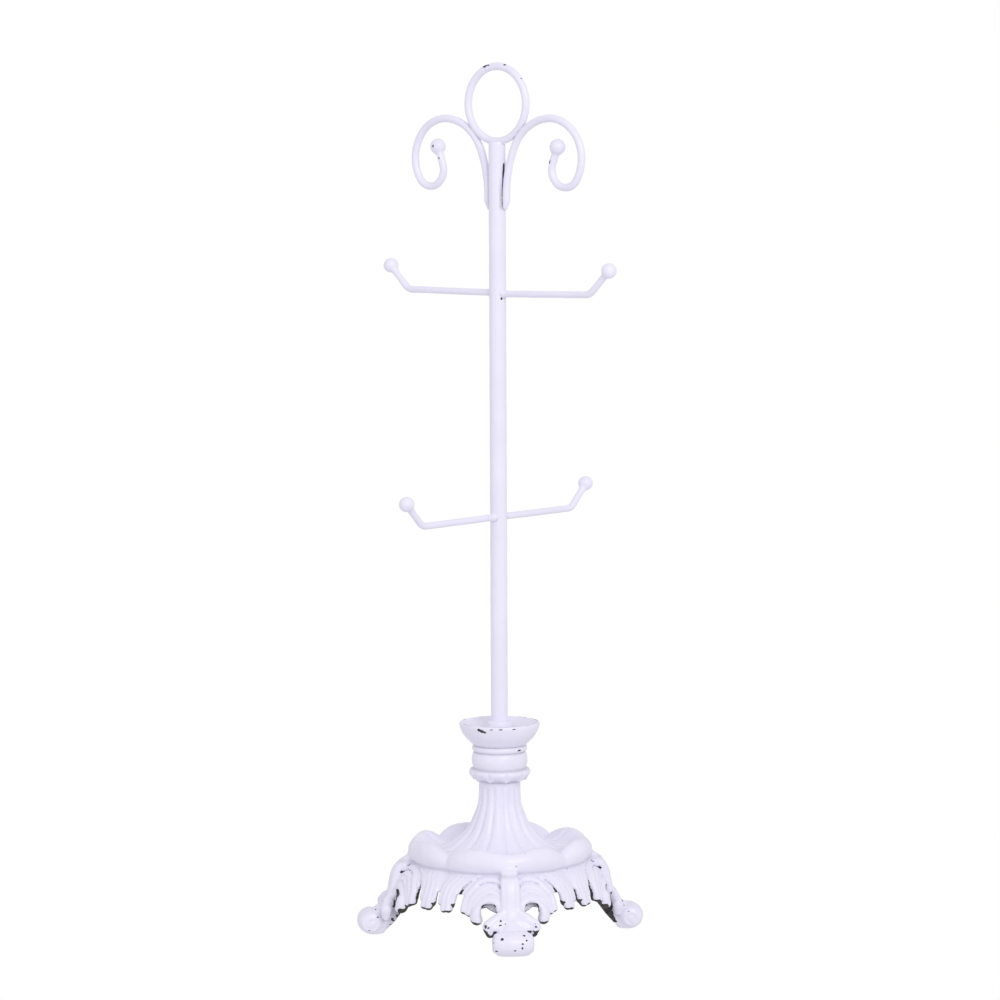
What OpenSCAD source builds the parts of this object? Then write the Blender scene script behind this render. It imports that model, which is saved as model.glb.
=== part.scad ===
// Free-standing mug tree: a cast pedestal on four leaf feet, a stack of turned rings and a dish,
// a steel post with four welded hooks, and a finial of one ring and two scrolls.
// Millimetres, +Z up. The origin is on the floor, on the post's axis.
// The finial and the upper hooks lie along X, the lower hooks along Y, the feet on the diagonals.

/* [Overall] */
// Height from the floor to the top of the ring
total_h = 500; // [490:1:520]

/* [Post] */
// Outside diameter of the post tube
post_d = 9.6; // [9:0.1:10]
// Wall thickness of the post tube
post_wall = 1.1; // [0.8:0.1:1.5]

/* [Hooks] */
// Height of the upper pair of hooks
upper_hook_z = 369.2; // [340:1:390]
// Height of the lower pair of hooks
lower_hook_z = 240.5; // [220:1:260]
// Distance from the post's axis to the centre of a hook's ball
hook_reach = 80.9; // [70:1:95]
// Rise of the ball's centre above the straight part of the hook
hook_rise = 13.8; // [12:0.5:18]
// Wire diameter of the hooks
hook_wire_d = 3.8; // [3.5:0.1:4.2]
// Inside-to-centre radius of the hook's bend
hook_bend_r = 8; // [6:1:9]
// Diameter of the ball on each hook
hook_ball_d = 8.6; // [8:0.1:10]

/* [Finial] */
// Diameter of the ring, measured on the wire's centre line
ring_d = 42.4; // [41.5:0.1:43]
// Wire diameter of the ring and the scrolls
finial_wire_d = 4.3; // [4.2:0.05:4.4]
// Diameter of the ball on each scroll
scroll_ball_d = 9; // [8:0.5:10]

/* [Pedestal] */
// Distance from the post's axis to the middle of a foot
foot_reach = 75.2; // [72:1:80]
// Height of a foot
foot_h = 14.6; // [13.4:0.2:17]
// Depth of the flutes on the column
flute_depth = 1.2; // [0.6:0.1:1.4]
// Radius of the dish at its rim
dish_rim_r = 23.2; // [22:0.2:26]

/* [Hidden] */
$fn = 96;

paint_white = "#f3f1fb";
paint_shade = "#e4e2ef";
bare_steel = "#8d9096";
zinc = "#b9bcc2";

// Stack heights, from the casting up
casting_top = 88;
collar_h = 7;
barrel_h = 9.6;
bead_h = 4;
dish_h = 12.6;
collar_z = casting_top;
barrel_z = collar_z + collar_h;
bead_z = barrel_z + barrel_h;
dish_z = bead_z + bead_h;
dish_floor_z = dish_z + 9.6;
flange_h = 4.2;
flange_r = 7.1;

// Tie bolt, M6 by 60
bolt_r = 2.95;
bolt_hole_r = 3.3;
bolt_length = 60;
bolt_head_h = 4;
bolt_head_flats = 10;
washer_t = 1.6;
washer_r = 6;
lock_washer_r = 5;
cavity_top = 79;
plug_h = 22;
washer_z = cavity_top - washer_t;
lock_washer_z = washer_z - washer_t;

// Finial
post_r = post_d / 2;
hook_wire_r = hook_wire_d / 2;
finial_wire_r = finial_wire_d / 2;
ring_r = ring_d / 2;
ring_z = total_h - ring_r - finial_wire_r;
post_top_z = ring_z - ring_r;
tube_cap = 12;
weld_set = 0.2;
scroll_foot_z = ring_z - 59.6;
scroll_x = post_r + finial_wire_r - weld_set;

// A bent wire is a list of steps: [length] is a straight, [radius, angle] is a bend.
scroll_steps = [[7], [70, 22], [28.9, 68], [22.6, 120], [9.8, 170], [7.5]];
scroll_tail = 2.8;
hook_angle = 45;
hook_tangent = hook_bend_r * tan(hook_angle / 2);
hook_vertex = hook_reach - hook_rise;
hook_tail = 2;
hook_steps = [
    [hook_vertex - hook_tangent],
    [hook_bend_r, hook_angle],
    [hook_rise / sin(hook_angle) - hook_tangent - hook_tail]
];

// Pedestal casting. Its surface is a ring of sections, one every section_step degrees.
leg_angles = [45, 135, 225, 315];
section_count = 96;
section_step = 360 / section_count;
flute_pitch = 22.5;
shoulder_angle = 22;
// Rows of the outside, top to bottom: radius and height on a leg's line, radius and height
// halfway between two legs, how far a flute moves the surface in and down, and how far the
// petal's shoulders, on both sides of the leg's line, stand up.
outer_rows = [
    [bolt_hole_r, casting_top, bolt_hole_r, casting_top, 0, 0, 0],
    [11.6, casting_top, 11.6, casting_top, 0, 0, 0],
    [12.2, 84.5, 12.2, 84.5, 0.8, 0, 0],
    [12.4, 78, 12.4, 78, 0.9, 0, 0],
    [13.6, 72, 13.6, 72, 1, 0, 0],
    [15.9, 66, 15.9, 66, 1, 0, 0],
    [19.4, 60.2, 19.4, 60.2, 0.8, 0.6, 0],
    [24.2, 55.2, 24.2, 55.2, 0.4, 1, 0],
    [30, 51, 30, 51.4, 0, 1.2, 0],
    [35.6, 49, 35.4, 49.4, 0, 1.1, 0.8],
    [41, 49.4, 40, 49, 0, 0.8, 3.4],
    [46.4, 52.4, 44.2, 50.4, 0, 0.4, 2.8],
    [50.4, 52, 46.8, 49.6, 0, 0, 2],
    [53, 49, 48.4, 46.8, 0, 0, 0.8],
    [53, 44.8, 48.2, 43.8, 0, 0, 0],
    [51.2, 42, 46, 41, 0, 0, 0],
    [55.4, 40, 48.8, 38.6, 0, 0, 0],
    [60, 36, 53.6, 34, 0, 0, 0]
];
// Rows of the inside, bottom to top, in the same form
inner_rows = [
    [56, 33, 51.4, 30, 0, 0, 0],
    [48, 38.6, 43, 36.6, 0, 0, 0],
    [32, 46, 30, 45, 0, 0, 0],
    [15, 54, 15, 54, 0, 0, 0],
    [8, 64, 8, 64, 0, 0, 0],
    [8, cavity_top, 8, cavity_top, 0, 0, 0],
    [bolt_hole_r, cavity_top, bolt_hole_r, cavity_top, 0, 0, 0]
];
// Leaf tips along the skirt: angle from the leg, half width in degrees, height of the tip
leaf_lobes = [[18.75, 5.4, 17.6], [26.25, 4.8, 20], [37.5, 6.4, 21.8]];
leaf_root_z = 27.5;
leaf_r_leg = 61.2;
leaf_r_notch = 57.6;
leaf_t = 3.6;

// Legs, in the plane of the foot: radius, height, half width and edge radius
stem_stations = [
    [53.5, 41, 5.4, 3.4], [60.6, 35, 5.6, 3.6], [62.8, 27, 5.4, 3.8], [66, 19, 8, 4], [69.6, 13, 9, 4]
];
foot_half_w = 11.8;
sole_half_w = 8;
sole_inner_r = 70;
sole_outer_r = 79;
// Shank behind the nubs, which slopes down to the foot: radius, height, half width and edge radius
shank_stations = [
    [56, 23.6, 5.2, 4], [60.8, 16.6, 6.5, 4.2], [65.3, 11, 9, 4.4], [69.6, 6.6, 10, 4.6]
];

// Stations along a wire in the XZ plane: x, z and heading, the heading turning from +Z to +X
wire_sides = 24;
bend_step = 8.5;
function wire_station(at, step, a) =
    len(step) == 1
        ? [at[0] + step[0] * sin(at[2]), at[1] + step[0] * cos(at[2]), at[2]]
        : [
            at[0] + step[0] * (cos(at[2]) - cos(at[2] + a)),
            at[1] + step[0] * (sin(at[2] + a) - sin(at[2])),
            at[2] + a
        ];
function wire_run(at, step) =
    let (n = len(step) == 1 ? 1 : ceil(step[1] / bend_step))
    [for (k = [1:n]) wire_station(at, step, len(step) == 1 ? 0 : step[1] * k / n)];
function wire_path(at, steps, i = 0) =
    i == len(steps)
        ? [at]
        : let (run = wire_run(at, steps[i]))
            concat([at], [for (k = [0:1:len(run) - 2]) run[k]], wire_path(run[len(run) - 1], steps, i + 1));
scroll_path = wire_path([scroll_x, scroll_foot_z, 0], scroll_steps);
hook_path = wire_path([0, 0, 0], hook_steps);

function leg_offset(a) = (a % 90) - 45;
function petal(a) = abs(cos(2 * leg_offset(a)));
function shoulder(a) =
    let (
        x = abs(leg_offset(a)),
        s = min(x / shoulder_angle, 1),
        c = 1 - (45 - x) / (45 - shoulder_angle)
    )
    x < shoulder_angle ? s * s * (3 - 2 * s) : 1 - c * c;
function flute(a) = 0.5 + 0.5 * cos(360 / flute_pitch * leg_offset(a));
function mix(low, high, t) = low + (high - low) * t;
function lobe_edge(off, lobe) =
    let (u = (abs(off) - lobe[0]) / lobe[1])
    abs(u) < 1 ? leaf_root_z - (leaf_root_z - lobe[2]) * sqrt(1 - u * u) : leaf_root_z;
function leaf_z(a) = min([for (lobe = leaf_lobes) lobe_edge(leg_offset(a), lobe)]);
function leaf_r(a) = mix(leaf_r_notch, leaf_r_leg, petal(a));
function row_point(row, a) =
    let (
        w = petal(a),
        f = flute(a) * flute_depth,
        r = mix(row[2], row[0], w) - row[4] * f,
        z = mix(row[3], row[1], w) - row[5] * f + row[6] * shoulder(a)
    )
    [r * cos(a), r * sin(a), z];
function edge_point(a, r, z) = [r * cos(a), r * sin(a), z];
function section(a) = concat(
    [for (row = outer_rows) row_point(row, a)],
    [
        edge_point(a, leaf_r(a), leaf_z(a) + 2),
        edge_point(a, leaf_r(a) - leaf_t / 2, leaf_z(a)),
        edge_point(a, leaf_r(a) - leaf_t, leaf_z(a) + 2)
    ],
    [for (row = inner_rows) row_point(row, a)]
);

// Pedestal shell: fluted column, four petals and the leaf skirt, hollow underneath
module casting_shell() {
    sections = [for (i = [0:section_count - 1]) section(i * section_step)];
    rows = len(sections[0]);
    points = [for (s = sections) for (p = s) p];
    faces = [
        for (i = [0:section_count - 1], j = [0:rows - 1])
            let (
                next = (i + 1) % section_count,
                below = (j + 1) % rows,
                a = i * rows + j,
                b = i * rows + below,
                c = next * rows + below,
                d = next * rows + j
            )
            each [[a, c, b], [a, d, c]]
    ];
    polyhedron(points = points, faces = faces, convexity = 10);
}

// Two balls side by side, the ends of a rounded bar that lies across a leg
module bead_pair(r, z, half_w, edge_r) {
    for (side = [-1, 1])
        translate([r, side * (half_w - edge_r), z]) sphere(r = edge_r, $fn = 8);
}

// Leaf lobe hanging beside a leg, from one ball to another
module lobe(from, to, from_r, to_r) {
    hull() {
        translate(from) sphere(r = from_r, $fn = 8);
        translate(to) sphere(r = to_r, $fn = 8);
    }
}

// A bar along a leg through stations of radius, height, half width and edge radius
module bars(stations) {
    for (i = [0:len(stations) - 2])
        hull()
            for (at = [stations[i], stations[i + 1]]) bead_pair(at[0], at[1], at[2], at[3]);
}

// Disc of a foot, standing across the leg at y = at
module foot_disc(at, r, width) {
    translate([foot_reach, at, foot_h / 2]) rotate([90, 0, 0]) cylinder(r = r, h = width, center = true, $fn = 24);
}

// One leg: its rib, the two nubs, the curled leaves beside it, the shank and the foot
module leg() {
    bars(stem_stations);
    for (side = [-1, 1]) {
        lobe([66, side * 5, 19], [69.4, side * 12.2, 14.6], 4, 3.8);
        lobe([57.6, side * 19.4, 28], [58, side * 19.8, 21], 3, 3.4);
        lobe([56, side * 25.6, 29], [54.8, side * 25.4, 23.4], 2.6, 3);
    }
    hull() {
        for (side = [-1, 1]) {
            foot_disc(side * 2.5, foot_h / 2, 5);
            foot_disc(side * (foot_half_w - 4), foot_h / 2 - 1.1, 2);
            foot_disc(side * (foot_half_w - 1), foot_h / 2 - 2.6, 2);
            translate([69.4, side * (foot_half_w - 4.6), 4.4]) sphere(r = 3.4, $fn = 12);
        }
        translate([sole_inner_r, -sole_half_w, 0]) cube([sole_outer_r - sole_inner_r, 2 * sole_half_w, 1]);
    }
    bars(shank_stations);
}

module foot_casting() {
    color(paint_white)
        union() {
            casting_shell();
            for (a = leg_angles) rotate([0, 0, a]) leg();
        }
}

// Ring with ten scallops along its lower edge
module scalloped_collar() {
    scallops = 10;
    color(paint_white)
        difference() {
            rotate_extrude()
                polygon([
                    [bolt_hole_r, collar_z], [13.4, collar_z], [14.8, collar_z + 1],
                    [16.6, collar_z + 2.6], [17.7, collar_z + 4.2], [17.7, collar_z + 5.2],
                    [16.8, collar_z + 6.2], [15.4, collar_z + collar_h], [bolt_hole_r, collar_z + collar_h]
                ]);
            for (i = [0:scallops - 1])
                rotate([0, 0, i * 360 / scallops])
                    translate([13, 0, collar_z - 0.9])
                        rotate([0, 78, 0]) cylinder(r = 3.6, h = 10);
        }
}

// Convex band between the collar and the bead
module neck_barrel() {
    bulge = 0.9;
    foot_r = 15.2;
    steps = 12;
    color(paint_white)
        rotate_extrude()
            polygon(concat(
                [[bolt_hole_r, barrel_z]],
                [for (i = [0:steps]) [foot_r + bulge * sin(180 * i / steps), barrel_z + barrel_h * i / steps]],
                [[bolt_hole_r, barrel_z + barrel_h]]
            ));
}

module bead_ring() {
    bead_r = 1.5;
    outer_r = 15.9;
    color(paint_white)
        union() {
            translate([0, 0, bead_z])
                difference() {
                    cylinder(r = outer_r - 0.9, h = bead_h);
                    translate([0, 0, -1]) cylinder(r = bolt_hole_r, h = bead_h + 2);
                }
            rotate_extrude() translate([outer_r - bead_r, bead_z + bead_h / 2 - 0.1]) circle(r = bead_r);
        }
}

// Shallow dish that the post stands in. Its underside is a quarter round.
module drip_dish() {
    steps = 12;
    under_r = 15.4;
    rim_z = dish_z + dish_h;
    color(paint_shade)
        rotate_extrude()
            polygon(concat(
                [[bolt_hole_r, dish_z], [under_r, dish_z]],
                [for (i = [0:steps])
                    let (t = 90 * i / steps)
                    [under_r + (dish_rim_r - under_r) * sin(t), rim_z - 1.2 - (dish_h - 1.8) * cos(t)]],
                [[dish_rim_r - 0.4, rim_z - 0.3], [dish_rim_r - 1.2, rim_z], [dish_rim_r - 2.4, rim_z - 0.5]],
                [for (i = [1:steps - 1])
                    let (t = i / steps)
                    [mix(dish_rim_r - 2.4, 9.4, t), mix(rim_z - 0.5, dish_floor_z, sin(90 * t))]],
                [[9.4, dish_floor_z], [bolt_hole_r, dish_floor_z]]
            ));
}

module tie_bolt() {
    head_z = lock_washer_z - bolt_head_h;
    color(zinc)
        union() {
            translate([0, 0, head_z])
                cylinder(r = bolt_head_flats / 2 / cos(30), h = bolt_head_h, $fn = 6);
            translate([0, 0, lock_washer_z - 0.5]) cylinder(r = bolt_r, h = bolt_length + 0.5);
        }
}

module washer(r, z, thickness) {
    translate([0, 0, z])
        difference() {
            cylinder(r = r, h = thickness);
            translate([0, 0, -1]) cylinder(r = bolt_hole_r, h = thickness + 2);
        }
}

module tie_washer() {
    color(zinc) washer(washer_r, washer_z, washer_t);
}

// Split spring washer, with the slit that gives it its spring
module lock_washer() {
    color(bare_steel)
        difference() {
            washer(lock_washer_r, lock_washer_z, washer_t);
            translate([4, 0, lock_washer_z + washer_t / 2])
                rotate([25, 0, 0]) cube([6, 0.6, washer_t * 3], center = true);
        }
}

// Threaded insert held in the lower end of the post
module post_plug() {
    color(bare_steel)
        translate([0, 0, dish_floor_z])
            difference() {
                cylinder(r = post_r - post_wall, h = plug_h);
                translate([0, 0, -1]) cylinder(r = bolt_r + 0.05, h = plug_h + 2);
            }
}

// Flange around the foot of the post, stepped once
module post_flange() {
    color(paint_white)
        difference() {
            union() {
                translate([0, 0, dish_floor_z]) cylinder(r = flange_r + 1.4, h = 1.4);
                translate([0, 0, dish_floor_z + 1.4]) cylinder(r = flange_r, h = flange_h - 2.2);
                translate([0, 0, dish_floor_z + flange_h - 0.8])
                    cylinder(r1 = flange_r, r2 = flange_r - 0.8, h = 0.8);
            }
            translate([0, 0, dish_floor_z - 1]) cylinder(r = post_r, h = flange_h + 2);
        }
}

module ring_solid() {
    translate([0, 0, ring_z]) rotate([90, 0, 0])
        rotate_extrude() translate([ring_r, 0]) circle(r = finial_wire_r);
}

// Tube with a closed top, saddled to the ring
module post_tube() {
    color(paint_white)
        difference() {
            translate([0, 0, dish_floor_z]) cylinder(r = post_r, h = post_top_z - dish_floor_z);
            translate([0, 0, dish_floor_z - 1])
                cylinder(r = post_r - post_wall, h = post_top_z - dish_floor_z - tube_cap + 1);
            ring_solid();
        }
}

// Round wire as one closed skin, along the stations of a path in the XZ plane
module swept_wire(path, wire_r) {
    last = len(path) - 1;
    points = [
        for (s = path, k = [0:wire_sides - 1])
            let (a = 360 * k / wire_sides, across = wire_r * cos(a))
            [s[0] + across * cos(s[2]), wire_r * sin(a), s[1] - across * sin(s[2])]
    ];
    sides = [
        for (i = [0:last - 1], k = [0:wire_sides - 1])
            let (m = (k + 1) % wire_sides, low = i * wire_sides, high = low + wire_sides)
            [low + k, high + k, high + m, low + m]
    ];
    start = [for (k = [0:wire_sides - 1]) k];
    end = [for (k = [wire_sides - 1:-1:0]) last * wire_sides + k];
    polyhedron(points = points, faces = concat(sides, [start, end]), convexity = 6);
}

// Hook that leaves the post at height z in the direction azimuth and turns up near its end
module hook(azimuth, z) {
    color(paint_white)
        difference() {
            rotate([0, 0, azimuth]) translate([0, 0, z]) rotate([180, -90, 0])
                swept_wire(hook_path, hook_wire_r);
            translate([0, 0, z - 20]) cylinder(r = post_r, h = 40);
        }
}

// Ball pressed on a wire's end, with the blind hole that the wire fills
module wire_ball(ball_r, wire_r, tail) {
    difference() {
        translate([0, 0, tail]) sphere(r = ball_r);
        translate([0, 0, -ball_r * 2]) cylinder(r = wire_r, h = ball_r * 2);
    }
}

// Everything that its children hold, moved to the end of a path and turned to its heading
module at_tip(path) {
    tip = path[len(path) - 1];
    translate([tip[0], 0, tip[1]]) rotate([0, tip[2], 0]) children();
}

module hook_ball(azimuth, z) {
    color(paint_white)
        rotate([0, 0, azimuth]) translate([0, 0, z]) rotate([180, -90, 0])
            at_tip(hook_path) wire_ball(hook_ball_d / 2, hook_wire_r, hook_tail);
}

module top_ring() {
    color(paint_white) ring_solid();
}

// Scroll on the side of the post where X has the sign of side, saddled to the post and to the ring
module scroll(side) {
    color(paint_white)
        mirror([side < 0 ? 1 : 0, 0, 0])
            difference() {
                swept_wire(scroll_path, finial_wire_r);
                translate([0, 0, scroll_foot_z - 5]) cylinder(r = post_r, h = 30);
                ring_solid();
            }
}

module scroll_ball(side) {
    color(paint_white)
        mirror([side < 0 ? 1 : 0, 0, 0])
            at_tip(scroll_path) wire_ball(scroll_ball_d / 2, finial_wire_r, scroll_tail);
}

foot_casting();
scalloped_collar();
neck_barrel();
bead_ring();
drip_dish();
tie_bolt();
tie_washer();
lock_washer();
post_plug();
post_flange();
post_tube();
hook(180, upper_hook_z);  // hook_upper_left
hook(0, upper_hook_z);  // hook_upper_right
hook(270, lower_hook_z);  // hook_lower_front
hook(90, lower_hook_z);  // hook_lower_back
hook_ball(180, upper_hook_z);  // ball_upper_left
hook_ball(0, upper_hook_z);  // ball_upper_right
hook_ball(270, lower_hook_z);  // ball_lower_front
hook_ball(90, lower_hook_z);  // ball_lower_back
top_ring();
scroll(-1);  // scroll_left
scroll(1);  // scroll_right
scroll_ball(-1);  // scroll_ball_left
scroll_ball(1);  // scroll_ball_right
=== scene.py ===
"""The look of a white-painted iron mug tree, over its CAD frame. Lengths are in millimetres."""

import math

import bpy
import numpy as np
from mathutils import Matrix, Vector


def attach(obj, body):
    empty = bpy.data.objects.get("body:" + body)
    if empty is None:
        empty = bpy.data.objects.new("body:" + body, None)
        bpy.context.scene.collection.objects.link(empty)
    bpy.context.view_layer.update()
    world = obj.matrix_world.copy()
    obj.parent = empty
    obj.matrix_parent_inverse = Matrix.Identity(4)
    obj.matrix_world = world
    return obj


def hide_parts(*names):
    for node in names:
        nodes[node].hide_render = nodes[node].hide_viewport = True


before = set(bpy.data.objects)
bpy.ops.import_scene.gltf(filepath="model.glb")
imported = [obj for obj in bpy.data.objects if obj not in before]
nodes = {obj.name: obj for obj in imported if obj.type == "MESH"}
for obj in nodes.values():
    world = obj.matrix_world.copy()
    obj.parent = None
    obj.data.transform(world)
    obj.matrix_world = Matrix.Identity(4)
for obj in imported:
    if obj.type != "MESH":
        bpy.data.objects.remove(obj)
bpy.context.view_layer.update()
MM = 0.001

# ---------------------------------------------------------------- camera and light, in metres

CAMERA_YAW = math.radians(39.54)
CAMERA_PITCH = math.radians(5.69)
CAMERA_ROLL = -0.0043
CAMERA_DISTANCE = 2.28947
CAMERA_HEIGHT = 0.47838
LIGHT_AIM = Vector((0, 0, 0.22))

cam_data = bpy.data.cameras.new("camera")
cam_data.sensor_width = 36.0
cam_data.lens = 144.27
cam_data.shift_x = 0.00151
cam_data.clip_end = 50
cam = bpy.data.objects.new("camera", cam_data)
bpy.context.scene.collection.objects.link(cam)
cam_at = (
    CAMERA_DISTANCE * math.sin(CAMERA_YAW),
    -CAMERA_DISTANCE * math.cos(CAMERA_YAW),
    CAMERA_HEIGHT,
)
cam.matrix_world = (
    Matrix.Translation(cam_at)
    @ Matrix.Rotation(CAMERA_YAW, 4, "Z")
    @ Matrix.Rotation(math.pi / 2 - CAMERA_PITCH, 4, "X")
    @ Matrix.Rotation(CAMERA_ROLL, 4, "Z")
)
bpy.context.scene.camera = cam

view = bpy.context.scene.view_settings
view.view_transform = "Standard"
view.look = "None"
view.exposure = 0
view.gamma = 1


def area_light(name, azimuth, height, distance, size, watts, colour):
    """A soft box facing the stand. Azimuth is measured from the camera's side, to the right."""
    data = bpy.data.lights.new(name, "AREA")
    data.shape = "RECTANGLE"
    data.size, data.size_y = size
    data.energy = watts
    data.color = colour
    lamp = bpy.data.objects.new(name, data)
    bpy.context.scene.collection.objects.link(lamp)
    a = CAMERA_YAW - math.pi / 2 + math.radians(azimuth)
    lamp.location = (distance * math.cos(a), distance * math.sin(a), height)
    aim = LIGHT_AIM - lamp.location
    lamp.rotation_euler = aim.to_track_quat("-Z", "Y").to_euler()


area_light("key", 24, 1.35, 1.9, (1.2, 1.2), 13.0, (1.0, 0.985, 1.0))
area_light("fill", -44, 0.8, 2.0, (1.1, 1.5), 1.8, (0.97, 0.97, 1.0))
area_light("front", 4, 0.42, 2.6, (1.2, 1.0), 2.0, (1.0, 0.99, 1.0))

# the room lights the stand softly, and the camera sees it as plain white paper
world = bpy.data.worlds.new("world")
bpy.context.scene.world = world
world.use_nodes = True
wn, wl = world.node_tree.nodes, world.node_tree.links
wn.clear()
w_out = wn.new("ShaderNodeOutputWorld")
w_mix = wn.new("ShaderNodeMixShader")
w_path = wn.new("ShaderNodeLightPath")
w_lit = wn.new("ShaderNodeBackground")
w_seen = wn.new("ShaderNodeBackground")
w_lit.inputs["Color"].default_value = (0.96, 0.955, 1.0, 1)
w_lit.inputs["Strength"].default_value = 0.765
w_seen.inputs["Color"].default_value = (1, 1, 1, 1)
w_seen.inputs["Strength"].default_value = 1.0
wl.new(w_path.outputs["Is Camera Ray"], w_mix.inputs["Fac"])
wl.new(w_lit.outputs[0], w_mix.inputs[1])
wl.new(w_seen.outputs[0], w_mix.inputs[2])
wl.new(w_mix.outputs[0], w_out.inputs["Surface"])

# ---------------------------------------------------------------- shape maths

# Distance to a shape that isn't near
FAR = 9.0
# How many sine waves make a noise, and what brings their mean to about -1 to 1
NOISE_WAVES = 7
NOISE_GAIN = 1.6


def rise(value, start, width):
    """0 up to start, then a straight slope up to 1 over the width."""
    return np.clip((value - start) / width, 0, 1)


def fall(value, end, width):
    """0 from the end on, after a straight slope down from 1 over the width."""
    return np.clip((end - value) / width, 0, 1)


def smooth(points, per_span=6):
    """A Catmull-Rom curve through the points."""
    p = np.asarray(points, float)
    p = np.vstack([2 * p[0] - p[1], p, 2 * p[-1] - p[-2]])
    t = np.linspace(0, 1, per_span, endpoint=False)[:, None]
    out = []
    for i in range(1, len(p) - 2):
        a, b, c, d = p[i - 1 : i + 3]
        square, cube = 2 * a - 5 * b + 4 * c - d, 3 * b - 3 * c + d - a
        out.append(0.5 * (2 * b + (c - a) * t + square * t**2 + cube * t**3))
    out.append(p[-2:-1])
    return np.vstack(out)


def smin(a, b, k):
    """The union of two distance fields, rounded over k."""
    h = np.clip(0.5 + 0.5 * (b - a) / k, 0, 1)
    return b + (a - b) * h - k * h * (1 - h)


def smax(a, b, k):
    """The overlap of two distance fields, rounded over k."""
    return -smin(-a, -b, k)


def corner(a, b):
    """Distance to the edge where two faces meet, from the distances to the faces."""
    return np.hypot(np.maximum(a, 0), np.maximum(b, 0)) + np.minimum(np.maximum(a, b), 0)


def ridge(offset, width):
    """A rounded bump of height 1 at offset 0."""
    return np.exp(-((offset / width) ** 2))


def to_path(u, v, path, radii):
    """Distance from (u, v) to a path, and the radius at the nearest point."""
    path, radii = np.asarray(path, float), np.asarray(radii, float)
    best = np.full(np.shape(u), 1e9)
    width = np.zeros(np.shape(u))
    for (a, b), (ra, rb) in zip(zip(path, path[1:]), zip(radii, radii[1:])):
        e = b - a
        t = np.clip(((u - a[0]) * e[0] + (v - a[1]) * e[1]) / (e @ e), 0, 1)
        d = (u - a[0] - t * e[0]) ** 2 + (v - a[1] - t * e[1]) ** 2
        near = d < best
        best = np.where(near, d, best)
        width = np.where(near, ra + (rb - ra) * t, width)
    return np.sqrt(best), width


def capsule(p, a, b, ra, rb):
    """Distance to a bar with round ends at a and b, of radius ra and rb."""
    a, b = np.asarray(a, float), np.asarray(b, float)
    e = b - a
    t = np.clip(sum((p[i] - a[i]) * e[i] for i in range(3)) / (e @ e), 0, 1)
    return np.sqrt(sum((p[i] - a[i] - t * e[i]) ** 2 for i in range(3))) - (ra + (rb - ra) * t)


def polygon_field(outline, rs, zs):
    """Signed distance to a closed outline, on the grid rs by zs."""
    r, z = np.meshgrid(rs, zs, indexing="ij")
    best = np.full(r.shape, 1e9)
    inside = np.zeros(r.shape, bool)
    for a, b in zip(outline, np.roll(outline, -1, axis=0)):
        e = b - a
        if e @ e < 1e-9:
            continue
        t = np.clip(((r - a[0]) * e[0] + (z - a[1]) * e[1]) / (e @ e), 0, 1)
        best = np.minimum(best, (r - a[0] - t * e[0]) ** 2 + (z - a[1] - t * e[1]) ** 2)
        if a[1] != b[1]:
            cross = ((a[1] > z) != (b[1] > z)) & (r < a[0] + (z - a[1]) * e[0] / e[1])
            inside ^= cross
    return np.where(inside, -1, 1) * np.sqrt(best)


def trilinear(table, axes, coords):
    """The table sampled at coords, with evenly spaced axes."""
    low, part = [], []
    for ax, c in zip(axes, coords):
        s = (c - ax[0]) / (ax[1] - ax[0])
        i = np.clip(np.floor(s).astype(int), 0, len(ax) - 2)
        low.append(i)
        part.append(np.clip(s - i, 0, 1))
    out = 0.0
    for vertex in range(8):
        w, at = 1.0, []
        for k in range(3):
            up = vertex >> k & 1
            w = w * (part[k] if up else 1 - part[k])
            at.append(low[k] + up)
        out = out + w * table[tuple(at)]
    return out


def surface_nets(field, origin, step):
    """Quads of the zero surface of a field, one vertex in each crossed cell."""
    inside = field < 0
    nx, ny, nz = field.shape
    corners = [(i, j, k) for i in (0, 1) for j in (0, 1) for k in (0, 1)]

    def cell(a, c):
        return a[c[0] : nx - 1 + c[0], c[1] : ny - 1 + c[1], c[2] : nz - 1 + c[2]]

    count = sum(cell(inside, c).astype(np.int8) for c in corners)
    active = (count > 0) & (count < 8)
    index = np.full(active.shape, -1, np.int64)
    where = np.argwhere(active)
    index[active] = np.arange(len(where))
    total = np.zeros((len(where), 3))
    hits = np.zeros(len(where))
    values = {c: cell(field, c)[active] for c in corners}
    for a in corners:
        for axis in range(3):
            if a[axis]:
                continue
            b = tuple(v + (i == axis) for i, v in enumerate(a))
            va, vb = values[a], values[b]
            cross = (va < 0) != (vb < 0)
            t = np.where(cross, va / np.where(cross, va - vb, 1), 0)
            at = np.array(a, float)[None] + np.eye(3)[axis][None] * t[:, None]
            total += at * cross[:, None]
            hits += cross
    verts = origin + step * (where + total / hits[:, None])
    faces = []
    for axis in range(3):
        u, v = (axis + 1) % 3, (axis + 2) % 3
        near = [slice(1, n - 1) for n in field.shape]
        far = [slice(1, n - 1) for n in field.shape]
        near[axis], far[axis] = slice(0, field.shape[axis] - 1), slice(1, field.shape[axis])
        a, b = inside[tuple(near)], inside[tuple(far)]
        for flip in (False, True):
            hit = np.argwhere(b & ~a if flip else a & ~b)
            off = np.ones(3, int)
            off[axis] = 0
            base = hit + off
            ids = []
            for du, dv in ((0, 0), (1, 0), (1, 1), (0, 1)):
                q = base.copy()
                q[:, u] -= du
                q[:, v] -= dv
                ids.append(index[q[:, 0], q[:, 1], q[:, 2]])
            quad = np.stack(ids, 1)
            faces.append(quad[:, ::-1] if flip else quad)
    return verts, np.vstack(faces)


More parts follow.
